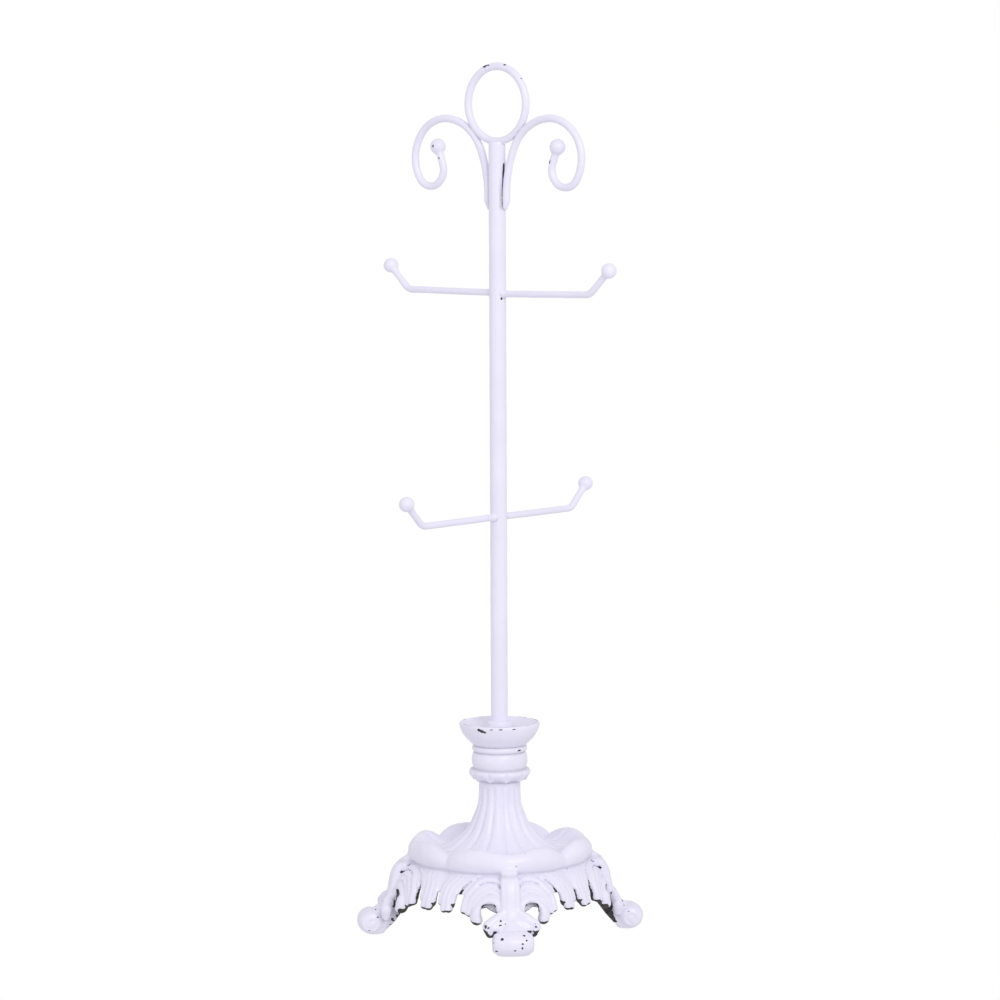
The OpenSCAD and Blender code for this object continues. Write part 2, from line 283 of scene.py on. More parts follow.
def noise(p, size, seed):
    """Smooth noise from about -1 to 1, the same each run: sine waves in fixed directions."""
    rng = np.random.default_rng(seed)
    out = 0.0
    for _ in range(NOISE_WAVES):
        d = rng.normal(size=3)
        d *= 2 * np.pi / size / np.linalg.norm(d) * rng.uniform(0.7, 1.5)
        out = out + np.sin(p[0] * d[0] + p[1] * d[1] + p[2] * d[2] + rng.uniform(0, 6.28))
    return out / NOISE_WAVES * NOISE_GAIN


# ---------------------------------------------------------------- the pedestal casting

# Outside of the casting from the top down, as (radius, height): on a leg's line, at a petal's
# shoulder, and halfway between two legs
NECK_LINE = [
    (3.3, 88), (11.2, 88), (12.0, 86.5), (12.1, 82.7), (12.2, 78.3), (12.8, 74.2),
    (14.1, 70), (15.9, 65.5), (18.4, 60.6), (22, 56.3),
]
LEG_LINE = NECK_LINE + [
    (27, 52.2), (31.5, 49.9), (35.6, 48.6), (39.6, 48.8), (43.4, 50.9), (46.9, 52.9),
    (50.2, 52.6), (52.5, 50.2), (53.4, 47.2), (53.0, 44.5), (51.4, 42.4), (50.9, 41.4),
    (52.0, 40.0), (54.6, 37.4), (57.3, 34.2), (58.9, 31.2),
]
SHOULDER_LINE = NECK_LINE + [
    (27, 52.6), (31.5, 50.0), (35.4, 49.6), (39.4, 51.2), (43.0, 54.0), (46.2, 55.5),
    (49.2, 54.4), (51.5, 51.4), (52.4, 48.0), (51.8, 44.8), (50.2, 42.2), (49.2, 41.0),
    (49.8, 39.8), (52.2, 37.4), (55.0, 34.0), (56.6, 31.0),
]
MID_LINE = NECK_LINE + [
    (27, 52.6), (31.5, 50.2), (35.2, 49.0), (38.6, 48.4), (41.8, 48.8), (44.6, 49.6),
    (46.8, 49.0), (48.2, 47.1), (48.5, 44.8), (47.8, 42.8), (46.4, 41.3), (45.8, 40.5),
    (47.2, 39.6), (49.8, 37.4), (52.7, 33.8), (54.3, 30.6),
]
SHOULDER_ANGLE = 22
# The hollow's wall from the bottom up, in the same form
INNER_LEG = [
    (57.4, 30.4), (54.6, 34.6), (50, 37.6), (42, 40.4), (32, 45),
    (20, 51), (11, 60), (8, 70), (8, 79), (3.3, 79),
]
INNER_MID = [
    (52.2, 29.8), (49.6, 33.6), (45, 36.4), (38, 39.4), (30, 44),
    (20, 51), (11, 60), (8, 70), (8, 79), (3.3, 79),
]

# Outer face of the leaf skirt, which the leaves lie on: height, radius at a leg, radius halfway
SKIRT = np.array([
    (10, 63.6, 58.4), (16, 63.4, 58.2), (22, 62.6, 57.6), (27, 61.2, 56.4),
    (31, 59.8, 54.8), (35, 57.6, 52.4), (39, 53.8, 48.6), (43, 50, 45),
])
SKIRT_REACH = 58

# Leaf strands: how far out they stand, then (distance round the skirt from the leg's line,
# height, radius)
STRANDS = [
    (0.9, [(6.1, 17.5, 1.2), (5.9, 22, 1.6), (6.6, 26.4, 2.0), (9.4, 29.0, 2.2),
           (13.2, 28.9, 2.2), (16.4, 26.8, 2.2), (18.0, 24.2, 2.2)]),
    (2.3, [(18.4, 22.8, 2.7), (18.7, 19.6, 3.3), (18.0, 17.9, 3.2)]),
    (0.6, [(4.9, 28.2, 1.0), (6.2, 31.3, 1.3), (10.4, 33.2, 1.4), (14.8, 32.5, 1.5),
           (18.4, 29.6, 1.5), (20.5, 25.8, 1.6), (21.2, 21.5, 1.8)]),
    (0.6, [(4.6, 33.0, 0.9), (6.8, 35.1, 1.2), (11.0, 36.2, 1.4), (16.2, 35.0, 1.5),
           (20.2, 31.6, 1.5), (22.7, 27.2, 1.7), (23.3, 21.2, 2.0)]),
    (0.7, [(4.5, 37.2, 0.9), (7.6, 39.0, 1.3), (12.6, 39.6, 1.6), (18.4, 38.1, 1.6),
           (22.9, 33.8, 1.6), (25.7, 28.6, 1.8), (26.2, 22.6, 2.2)]),
    (0.3, [(20.4, 40.2, 0.7), (25.2, 38.4, 1.2), (28.4, 34.8, 1.4)]),
    (0.4, [(27.6, 39.0, 0.7), (31.6, 35.4, 1.5), (33.7, 30.6, 1.9), (34.4, 26.2, 2.0)]),
    (0.8, [(31.0, 39.2, 0.7), (35.2, 35.0, 1.5), (36.9, 29.4, 1.9), (36.7, 22.3, 2.4)]),
    (0.8, [(35.0, 39.0, 0.7), (38.8, 34.8, 1.5), (40.0, 29.4, 1.8), (39.7, 21.9, 2.3)]),
    (0.4, [(39.6, 38.4, 0.6), (42.2, 34.2, 1.2), (43.0, 29.6, 1.4), (42.7, 25.2, 1.6)]),
]
# Thin metal that joins neighbouring strands
WEBS = [
    [(18.6, 32), (19.2, 26), (18.8, 22)],
    [(21.0, 35), (22.0, 28), (21.6, 21.5)],
    [(24.4, 34), (24.9, 28), (24.6, 22.5)],
    [(35.4, 34), (36.4, 28), (36.2, 24.4)],
    [(39.4, 34), (40.4, 28), (40.0, 23.8)],
]
# Inner lip behind the arch between a leg and its leaf: position and half height
LIP = np.array([
    (4.6, 25.6, 4.4), (7.6, 25.8, 4.4), (10.9, 26.6, 3.8), (13.6, 27.0, 2.9), (16.0, 25.6, 2.2),
])
# The cut that parts a leg's leaf from the one beside it
PARTING = [(24.6, 37.6), (27.6, 35.0), (29.6, 31.6), (30.2, 28.0)]

# Centre lines of the leg's stem and of the shank behind it, as (distance out, height)
STEM_LINE = [
    (44.0, 44.6), (48.4, 44.0), (53.4, 42.0), (58.0, 38.4), (60.4, 34.4),
    (61.6, 29.5), (62.6, 24.5), (64.4, 19.6), (67.4, 15.6), (71.0, 12.6),
]
SHANK_LINE = [(52.8, 28.0), (55.8, 23.6), (60.6, 16.6), (65.0, 11.0), (69.4, 6.6), (73.0, 4.9)]
# Axis of the foot's scroll
FOOT_D, FOOT_Z = 75.2, 7.2


def skirt_radius(psi, z):
    """Radius of the skirt's outer face."""
    w = 0.5 + 0.5 * np.cos(4 * psi)
    height, at_leg, between = SKIRT.T
    return np.interp(z, height, between) * (1 - w) + np.interp(z, height, at_leg) * w


def inner_radius(psi, z):
    """Radius of the hollow's wall."""
    mid, leg = (np.asarray(w)[:, ::-1] for w in (INNER_MID, INNER_LEG))
    even = 0.5 + 0.5 * np.cos(4 * psi)
    between, at_leg = np.interp(z, mid[:, 0], mid[:, 1]), np.interp(z, leg[:, 0], leg[:, 1])
    return between * (1 - even) + at_leg * even


def casting_slices(slices=16):
    """Signed distance to the casting's profile, by angle from a leg's line, radius and height."""
    psis = np.linspace(0, np.pi / 4, slices)
    rs, zs = np.arange(0, 68, 0.5), np.arange(20, 92, 0.5)
    leg, shoulder, mid = (np.asarray(w) for w in (LEG_LINE, SHOULDER_LINE, MID_LINE))
    fields = []
    for psi in psis:
        s = np.degrees(psi) / SHOULDER_ANGLE
        if s < 1:
            w = s * s * (3 - 2 * s)
            outer = leg * (1 - w) + shoulder * w
        else:
            w = 1 - (1 - ((45 - np.degrees(psi)) / (45 - SHOULDER_ANGLE))) ** 2
            outer = mid * (1 - w) + shoulder * w
        even = 0.5 + 0.5 * np.cos(4 * psi)
        inner = smooth(np.asarray(INNER_MID) * (1 - even) + np.asarray(INNER_LEG) * even, 4)
        fields.append(polygon_field(np.vstack([smooth(outer, 6), inner]), rs, zs))
    return np.array(fields), (psis, rs, zs)


def flute_depth(psi, r, z):
    """Sixteen narrow grooves, which run on across the valley and up the inside of the petals."""
    groove = np.abs((psi + np.pi / 16) % (np.pi / 8) - np.pi / 16) * r
    width = np.interp(r, [10, 20, 34], [0.9, 1.15, 1.05])
    along = np.interp(r, [10, 12, 18, 30, 41, 45.5, 48.0], [1.0, 1.1, 1.35, 1.45, 1.35, 0.7, 0])
    depth = along * np.interp(z, [43, 48, 83, 86.5], [0, 1, 1, 0])
    # none on the hollow's own wall
    depth = depth * np.clip((r - inner_radius(psi, z) - 0.8) / 1.5, 0, 1)
    return depth * ridge(groove, width)


def leaf_relief(u, z, lift):
    """Distance to the leaves of the skirt. u runs round it from a leg's line, lift out from it."""
    leaves = np.full(u.shape, FAR)
    for out_by, pts in STRANDS:
        pts = smooth(pts, 5)
        flat, rad = to_path(u, z, pts[:, :2], pts[:, 2])
        across = np.sqrt(flat**2 + (lift - out_by + 0.6 * rad) ** 2) - rad
        leaves = smin(leaves, across, 0.6)
    web = np.maximum(np.abs(lift + 1.9) - 1.2, 0)
    sheet = np.full(u.shape, FAR)
    for pts in WEBS:
        flat, _ = to_path(u, z, pts, [1, 1, 1])
        sheet = np.minimum(sheet, np.sqrt(np.maximum(flat - 1.8, 0) ** 2 + web**2) - 0.6)
    leaves = smin(leaves, sheet, 0.8)
    flat, rad = to_path(u, z, LIP[:, :2], LIP[:, 2])
    height, thick = np.maximum(flat - rad + 0.8, 0), np.maximum(np.abs(lift + 4.4) - 0.5, 0)
    return smin(leaves, np.hypot(height, thick) - 0.8, 0.8)


def leg_shape(d, t, z):
    """A leg's stem with bevelled sides, and the wings that curl into nubs beside it."""
    line = smooth(STEM_LINE, 5)
    flat, _ = to_path(d, z, line, np.ones(len(line)))
    half = np.interp(z, [10, 14, 18, 23, 30, 38, 43], [7.4, 7.0, 5.8, 4.9, 4.6, 4.5, 3.6])
    bevel = 1.4 * rise(t, 2.2, 3.0) ** 1.3 + 0.4 * ridge(t - 3.0, 0.7) * rise(z, 15, 3)
    stem = corner(flat - 2.1 + bevel, t - half) - 0.9
    p = (d, t, z)
    wing = smin(
        capsule(p, (63.8, 4.0, 22.6), (65.8, 8.6, 19.2), 2.2, 2.8),
        capsule(p, (65.8, 8.6, 19.2), (67.2, 13.0, 16.2), 2.8, 3.2),
        1.2,
    )
    wing = smin(wing, capsule(p, (67.4, 13.2, 15.0), (67.4, 12.2, 11.6), 3.2, 2.5), 0.7)
    wing = smin(wing, capsule(p, (66.2, 4.4, 16.8), (67.8, 9.4, 14.4), 3.2, 2.7), 1.0)
    eye = capsule(p, (71.6, 13.4, 14.9), (70.2, 13.4, 14.9), 1.0, 0.8)
    wing = smax(wing, -eye, 0.4)
    return smin(stem, wing, 0.9)


def foot_shape(d, t, z):
    """A scroll rolled about a level axis, barrelled, on a flat sole, and the shank behind it."""
    roll = np.hypot(0.9 * (d - FOOT_D), z - FOOT_Z)
    belly = 7.2 - 0.013 * np.minimum(t, 12) ** 2
    knob = np.hypot(np.maximum(roll - belly + 2.1, 0), np.maximum(t - 9.7, 0)) - 2.1
    knob = np.maximum(knob, roll - belly)
    turn = np.arctan2(z - FOOT_Z, d - FOOT_D)
    turns = (turn + 0.6) % (2 * np.pi) / (2 * np.pi) * 2.0
    spiral = np.minimum.reduce([np.abs(roll - (1.2 + 1.15 * (turns + 2.0 * k))) for k in (0, 1, 2)])
    knob = knob + 0.6 * ridge(spiral, 0.75) * rise(t, 8.8, 1.4)
    toe = np.interp(d, [66, 70, 74, 80], [6.6, 8.2, 9.0, 7.6])
    ahead, beside = np.maximum(np.abs(d - 72.6) - 2.6, 0), np.maximum(t - toe + 2.6, 0)
    sole = smax(np.hypot(ahead, beside) - 2.6, z - np.interp(d, [66, 70, 75], [4.2, 5.6, 6.0]), 1.0)
    sole = smax(sole, -z, 2.6)
    # the shank runs down behind the nubs: a bar with a flat side, on a slope
    line = smooth(SHANK_LINE, 4)
    flat, _ = to_path(d, z, line, np.ones(len(line)))
    wide = np.interp(z, [4, 8, 12, 18, 26], [8.6, 9.0, 8.0, 5.4, 4.4])
    shank = corner(flat - 3.6, t - wide + 0.8) - 0.8
    foot = smin(smin(knob, sole, 1.6), shank, 1.6)
    # the fold over the instep
    fold = 0.55 * ridge(z - 14.6 + 0.05 * t**2, 0.9)
    return foot + fold * np.clip((d - 68) / 2, 0, 1) * np.clip(1 - t / 8, 0, 1)


def casting_field(x, y, z):
    """Signed distance to the casting at points of one quadrant, x and y above 0."""
    r = np.hypot(x, y)
    psi = np.abs(np.arctan2(y, x) - np.pi / 4)
    psi = np.minimum(psi, np.pi / 2 - psi)
    # position beside the nearest leg: out along the leg, and across it
    d, t = r * np.cos(psi), r * np.sin(psi)
    table, axes = casting_slices()
    out = trilinear(table, axes, (psi, r, z)) + flute_depth(psi, r, z)
    low = (r > 44) & (z < 46)
    zl, pl = z[low], psi[low]
    u, lift = SKIRT_REACH * pl, 0.93 * (r[low] - skirt_radius(pl, zl))
    skirt = smin(out[low], leaf_relief(u, zl, lift), 0.8)
    flat, _ = to_path(u, zl, PARTING, np.ones(len(PARTING)))
    skirt = smax(skirt, 0.55 - np.hypot(flat, 0.45 * np.maximum(-lift - 0.4, 0)), 0.5)
    dl, tl = d[low], np.abs(t[low])
    foot = smin(foot_shape(dl, tl, zl), leg_shape(dl, tl, zl), 0.9)
    foot = smax(foot, -zl, 1.2)
    out[low] = smin(skirt, foot, np.interp(zl, [38, 44], [0.8, 1.8]))
    return out


def casting_mesh(step):
    """The casting's surface: one quadrant measured every step, and mirrored to the others."""
    edge = np.arange(-step / 2, 68.5 + step, step)
    zs = np.arange(-2 * step, 89.5, step)
    x, y, z = np.meshgrid(edge, edge, zs, indexing="ij")
    field = casting_field(np.abs(x), np.abs(y), z).astype(np.float32)
    field = field[1:, 1:]
    field = np.concatenate([field[::-1], field], axis=0)
    field = np.concatenate([field[:, ::-1], field], axis=1)
    start = -(len(edge) - 1.5) * step
    return surface_nets(field, np.array([start, start, zs[0]]), step)


# ---------------------------------------------------------------- materials


def new_material(name):
    """A material with its nodes, its links and its surface shader."""
    mat = bpy.data.materials.new(name)
    mat.use_nodes = True
    return mat, mat.node_tree.nodes, mat.node_tree.links, mat.node_tree.nodes["Principled BSDF"]


def noise_node(n, l, coord, scale, detail, rough):
    """Procedural noise from 0 to 1. A higher scale is a finer noise."""
    node = n.new("ShaderNodeTexNoise")
    node.inputs["Scale"].default_value = scale
    node.inputs["Detail"].default_value = detail
    node.inputs["Roughness"].default_value = rough
    l.new(coord, node.inputs["Vector"])
    return node.outputs["Fac"]


def ramp(n, l, value, low, high, a=0.0, b=1.0):
    """a up to low, b from high on, and a smooth step between."""
    node = n.new("ShaderNodeMapRange")
    node.interpolation_type = "SMOOTHSTEP"
    node.inputs["From Min"].default_value = low
    node.inputs["From Max"].default_value = high
    node.inputs["To Min"].default_value = a
    node.inputs["To Max"].default_value = b
    l.new(value, node.inputs["Value"])
    return node.outputs["Result"]


def maths(n, l, kind, a, b):
    """One sum of a and b, each of them a number or a socket."""
    node = n.new("ShaderNodeMath")
    node.operation = kind
    for socket, value in zip(node.inputs, (a, b)):
        if isinstance(value, (int, float)):
            socket.default_value = value
        else:
            l.new(value, socket)
    return node.outputs[0]


def blend_colour(n, l, fac, a, b):
    """Colour a where fac is 0, b where it is 1, and a mixture between."""
    node = n.new("ShaderNodeMix")
    node.data_type = "RGBA"
    l.new(fac, node.inputs["Factor"])
    for socket, value in ((node.inputs[6], a), (node.inputs[7], b)):
        if isinstance(value, tuple):
            socket.default_value = (*value, 1)
        else:
            l.new(value, socket)
    return node.outputs[2]


def bump_normal(n, l, bsdf, height, strength, distance):
    """The height as fine relief on the shader, with its distance in metres."""
    bump = n.new("ShaderNodeBump")
    bump.inputs["Strength"].default_value = strength
    bump.inputs["Distance"].default_value = distance
    l.new(height, bump.inputs["Height"])
    l.new(bump.outputs["Normal"], bsdf.inputs["Normal"])


def painted_iron():
    """White paint brushed over dark iron. The mesh carries where it shows iron colour, for bare iron
    and for painted shade, and where it is greyed, for dirt and for painted shade.
    """
    mat, n, l, bsdf = new_material("painted_iron")
    coord = n.new("ShaderNodeTexCoord").outputs["Object"]
    bare_and_shade = n.new("ShaderNodeAttribute")
    bare_and_shade.attribute_name = "bare_and_shade"
    shade_and_dirt = n.new("ShaderNodeAttribute")
    shade_and_dirt.attribute_name = "shade_and_dirt"
    fine = noise_node(n, l, coord, 900, 4, 0.6)
    broad = noise_node(n, l, coord, 45, 3, 0.5)
    # paint: a cool white that varies slightly, greyer where dirt has settled and where painted shade
    # is laid in creases and gaps
    shade = ramp(n, l, broad, 0.3, 0.7)
    paint = blend_colour(n, l, shade, (0.850, 0.828, 0.950), (0.880, 0.858, 0.980))
    shade_and_dirt_fac = maths(n, l, "MULTIPLY", shade_and_dirt.outputs["Fac"], ramp(n, l, fine, 0.25, 0.75, 0.6, 1.0))
    paint = blend_colour(n, l, shade_and_dirt_fac, paint, (0.40, 0.385, 0.42))
    grain = ramp(n, l, fine, 0.35, 0.65)
    iron = blend_colour(n, l, grain, (0.020, 0.018, 0.018), (0.075, 0.066, 0.060))
    # a chip, and painted shade drawn as iron, is crisp edged: the mesh's own value pushed about by
    # fine noise
    push = maths(n, l, "MULTIPLY", maths(n, l, "SUBTRACT", fine, 0.5), 0.5)
    chip_and_shade = ramp(n, l, maths(n, l, "ADD", bare_and_shade.outputs["Fac"], push), 0.44, 0.56)
    l.new(blend_colour(n, l, chip_and_shade, paint, iron), bsdf.inputs["Base Color"])
    dull = maths(n, l, "ADD", chip_and_shade, maths(n, l, "MULTIPLY", fine, 0.2))
    l.new(ramp(n, l, dull, 0.0, 1.2, 0.28, 0.72), bsdf.inputs["Roughness"])
    bsdf.inputs["Specular IOR Level"].default_value = 0.5
    # the paint film: long soft drag marks, a fine orange peel, and a step down into each chip and
    # each patch of painted shade drawn as iron
    stretch = n.new("ShaderNodeMapping")
    stretch.inputs["Scale"].default_value = (1.0, 1.0, 0.16)
    l.new(coord, stretch.inputs["Vector"])
    brush = maths(n, l, "MULTIPLY", noise_node(n, l, stretch.outputs[0], 520, 3, 0.5), 0.45)
    peel = maths(n, l, "MULTIPLY", noise_node(n, l, coord, 260, 2, 0.5), 0.55)
    film = maths(n, l, "ADD", brush, peel)
    height = maths(n, l, "SUBTRACT", film, maths(n, l, "MULTIPLY", chip_and_shade, 0.9))
    bump_normal(n, l, bsdf, height, 0.32, 0.00035)
    return mat


def steel(name, colour, rough):
    """Bare or plated steel, slightly uneven in colour and shine."""
    mat, n, l, bsdf = new_material(name)
    coord = n.new("ShaderNodeTexCoord").outputs["Object"]
    fine = noise_node(n, l, coord, 700, 4, 0.6)
    dull = tuple(c * 0.72 for c in colour)
    tone = ramp(n, l, fine, 0.3, 0.7)
    l.new(blend_colour(n, l, tone, dull, colour), bsdf.inputs["Base Color"])
    bsdf.inputs["Metallic"].default_value = 1.0
    l.new(ramp(n, l, fine, 0.2, 0.8, rough - 0.08, rough + 0.1), bsdf.inputs["Roughness"])
    bump_normal(n, l, bsdf, fine, 0.2, 0.0001)
    return mat


PAINT = painted_iron()
ZINC = steel("zinc_plate", (0.66, 0.67, 0.70), 0.34)
PLAIN = steel("plain_steel", (0.36, 0.36, 0.38), 0.42)

# ---------------------------------------------------------------- meshes and their wear

# Chips down to the iron, and one painted shadow spot: centre, radius, and how far it stretches along
# x, y, z
CHIPS_AND_SHADOW_SPOT = [
    # ring
    ((-7.6, -1.6, 498.0), 1.4, (1.1, 1.2, 0.75)),
    ((-4.9, -2.0, 498.5), 0.75, (1.8, 1.0, 0.6)),
    ((6.9, -1.2, 498.7), 0.8, (1.0, 1.2, 0.8)),
    ((18.5, -0.6, 490.8), 0.45, (1.0, 1.0, 1.2)),
    # scrolls, and a painted shadow under the upper right hook's weld
    ((-44.1, -4.4, 452.6), 0.8, (0.8, 1.0, 1.1)),
    ((-41.5, -2.2, 445.5), 0.55, (1.0, 1.0, 1.0)),
    ((40.0, -2.0, 444.2), 0.8, (0.8, 0.9, 1.8)),
    ((4.8, -2.0, 366.1), 0.5, (1.8, 1.8, 0.7)),
    # dish and bead
    ((3.6, -22.8, 119.9), 1.15, (1.0, 1.0, 0.8)),
    ((5.4, -22.2, 119.2), 1.25, (1.0, 1.0, 0.8)),
    ((7.0, -21.6, 118.6), 0.95, (1.0, 1.0, 0.8)),
    ((11.0, -20.5, 120.4), 0.45, (2.6, 1.6, 0.7)),
    ((15.4, -17.4, 120.5), 0.5, (2.4, 2.6, 0.7)),
    ((20.2, -11.4, 120.5), 0.4, (2.0, 4.0, 0.7)),
    ((15.8, -1.4, 106.6), 0.6, (1.0, 2.6, 0.8)),
    # petal, front leg and foot
    ((41.2, -27.2, 53.7), 0.6, (1.0, 1.0, 1.1)),
    ((40.4, -34.9, 47.0), 0.35, (1.0, 1.0, 1.0)),
    ((43.9, -52.8, 19.0), 0.6, (1.0, 1.0, 1.4)),
    ((44.8, -53.9, 16.8), 0.5, (2.6, 1.6, 0.6)),
    ((38.8, -60.0, 16.4), 0.9, (1.2, 1.2, 0.8)),
    ((52.5, -62.0, 11.2), 1.0, (1.0, 1.0, 1.0)),
    ((60.4, -51.8, 12.8), 0.8, (1.0, 1.0, 1.0)),
    ((61.9, -55.3, 8.6), 0.65, (1.0, 1.0, 0.9)),
    ((61.9, -55.4, 6.3), 0.65, (1.0, 1.0, 1.2)),
    ((59.6, -56.6, 10.2), 0.4, (1.6, 1.6, 0.6)),
    ((62.7, -53.0, 10.4), 0.4, (1.0, 1.0, 1.6)),
    ((58.9, -58.3, 4.8), 0.6, (1.5, 1.5, 0.7)),
    ((49.8, -63.7, 4.2), 0.7, (1.6, 1.2, 0.7)),
]


def finish_mesh(name, verts, faces, node, bare_and_shade=None, shade_and_dirt=None):
    """A mesh object with its wear and its painted shade, riding on the stand in place of a CAD node.
    """
    mesh = bpy.data.meshes.new(name)
    corners = [tuple(int(i) for i in f) for f in faces]
    mesh.from_pydata((np.asarray(verts) * MM).tolist(), [], corners)
    mesh.update()
    mesh.shade_smooth()
    mesh.materials.append(PAINT)
    for label, values in (("bare_and_shade", bare_and_shade), ("shade_and_dirt", shade_and_dirt)):
        values = np.zeros(len(verts)) if values is None else np.clip(values, 0, 1)
        layer = mesh.attributes.new(label, "FLOAT", "POINT")
        layer.data.foreach_set("value", values.astype(np.float32))
    obj = bpy.data.objects.new(name, mesh)
    bpy.context.scene.collection.objects.link(obj)
    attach(obj, "root")
    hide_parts(node)


def chips_and_shadow_spot(verts):
    """How bare each vertex is, with the one painted shadow spot drawn as bare: 1 inside a chip or
    spot, falling off over its edge.
    """
    out = np.zeros(len(verts))
    for centre, radius, stretch in CHIPS_AND_SHADOW_SPOT:
        d = np.linalg.norm((verts - np.array(centre)) / np.array(stretch), axis=1)
        out = np.maximum(out, np.clip(1.5 - d / radius, 0, 1))
    return out


def vertex_normals(verts, faces):
    """Unit normal at each vertex, weighted by its faces' areas."""
    f = np.asarray(faces)
    c = np.cross(verts[f[:, 2]] - verts[f[:, 0]], verts[f[:, -1]] - verts[f[:, 1]])
    out = np.zeros_like(verts)
    for k in range(f.shape[1]):
        np.add.at(out, f[:, k], c)
    return out / np.maximum(np.linalg.norm(out, axis=1, keepdims=True), 1e-12)


def grid_faces(rows, cols, loop_rows=False):
    """Quads of a tube whose rings have cols points."""
    r = np.arange(rows if loop_rows else rows - 1)[:, None]
    c = np.arange(cols)[None, :]
    a = r * cols + c
    b = r * cols + (c + 1) % cols
    d = (r + 1) % rows * cols + c
    e = (r + 1) % rows * cols + (c + 1) % cols
    return np.stack([a, b, e, d], axis=2).reshape(-1, 4)


def lathe(profile, sides, ripple, seed, rough=0.06):
    """A turned shape about Z from (radius, height) points, bottom to top, open at both ends."""
    p = np.asarray(profile, float)
    a = np.linspace(0, 2 * np.pi, sides, endpoint=False)
    r = np.repeat(p[:, :1], sides, 1)
    z = np.repeat(p[:, 1:], sides, 1)
    if ripple is not None:
        r, z = ripple(r, z, a[None, :])
    v = np.stack([r * np.cos(a), r * np.sin(a), z], 2).reshape(-1, 3)
    n = noise(v.T, 7, seed) * rough
    v[:, :2] *= (1 + n / np.maximum(np.hypot(v[:, 0], v[:, 1]), 4))[:, None]
    return v, grid_faces(len(p), sides)


def line_length(path):
    """Distance along a path to each of its points."""
    return np.concatenate([[0], np.cumsum(np.linalg.norm(np.diff(path, axis=0), axis=1))])


def sweep(path, radii, sides, seed, wobble, uneven):
    """A round wire along a path, closed at both ends by a point on its centre line."""
    path = np.asarray(path, float)
    step = np.gradient(path, axis=0)
    step /= np.linalg.norm(step, axis=1, keepdims=True)
    side = np.cross(step[0], [0, 0, 1.0] if abs(step[0][2]) < 0.9 else [0, 1.0, 0])
    a = np.linspace(0, 2 * np.pi, sides, endpoint=False)
    rings = []
    for i, p in enumerate(path):
        side = side - step[i] * (side @ step[i])
        side /= np.linalg.norm(side)
        up = np.cross(step[i], side)
        rings.append(p + radii[i] * (np.cos(a)[:, None] * side + np.sin(a)[:, None] * up))
    v = np.array(rings).reshape(-1, 3)
    centre = np.repeat(path, sides, 0)
    n = noise(v.T, 9, seed) * uneven + noise(v.T, 3, seed + 50) * uneven * 0.5
    v = centre + (v - centre) * (1 + n)[:, None]
    sway = np.stack([noise(centre.T, 28, seed + 7 * k) for k in range(3)], 1) * wobble
    v = v + sway
    faces = grid_faces(len(path), sides).tolist()
    tip = len(v)
    v = np.vstack([v, path[:1] + sway[:1], path[-1:] + sway[-1:]])
    last = (len(path) - 1) * sides
    for k in range(sides):
        faces.append([tip, (k + 1) % sides, k])
        faces.append([tip + 1, last + k, last + (k + 1) % sides])
    return v, faces


# ---------------------------------------------------------------- the pedestal

# How finely the casting is measured, and how many triangles of it are kept
CASTING_STEP = 0.74
CASTING_TRIANGLES = 190120


def thin_out(v, f, share):
    """The same surface with fewer triangles: the flat stretches give way first."""
    mesh = bpy.data.meshes.new("thin")
    mesh.vertices.add(len(v))
    mesh.vertices.foreach_set("co", v.astype(np.float32).ravel())
    mesh.loops.add(len(f) * 4)
    mesh.loops.foreach_set("vertex_index", f.astype(np.int32).ravel())
    mesh.polygons.add(len(f))
    mesh.polygons.foreach_set("loop_start", np.arange(0, len(f) * 4, 4, dtype=np.int32))
    mesh.update(calc_edges=True)
    obj = bpy.data.objects.new("thin", mesh)
    bpy.context.scene.collection.objects.link(obj)
    cut = obj.modifiers.new("thin", "DECIMATE")
    cut.ratio = share
    cut.use_collapse_triangulate = True
    done = obj.evaluated_get(bpy.context.evaluated_depsgraph_get()).to_mesh()
    out = np.zeros(len(done.vertices) * 3, np.float32)
    done.vertices.foreach_get("co", out)
    done.calc_loop_triangles()
    tris = np.zeros(len(done.loop_triangles) * 3, np.int32)
    done.loop_triangles.foreach_get("vertices", tris)
    obj.to_mesh_clear()
    bpy.data.objects.remove(obj)
    bpy.data.meshes.remove(mesh)
    return out.reshape(-1, 3).astype(float), tris.reshape(-1, 3)


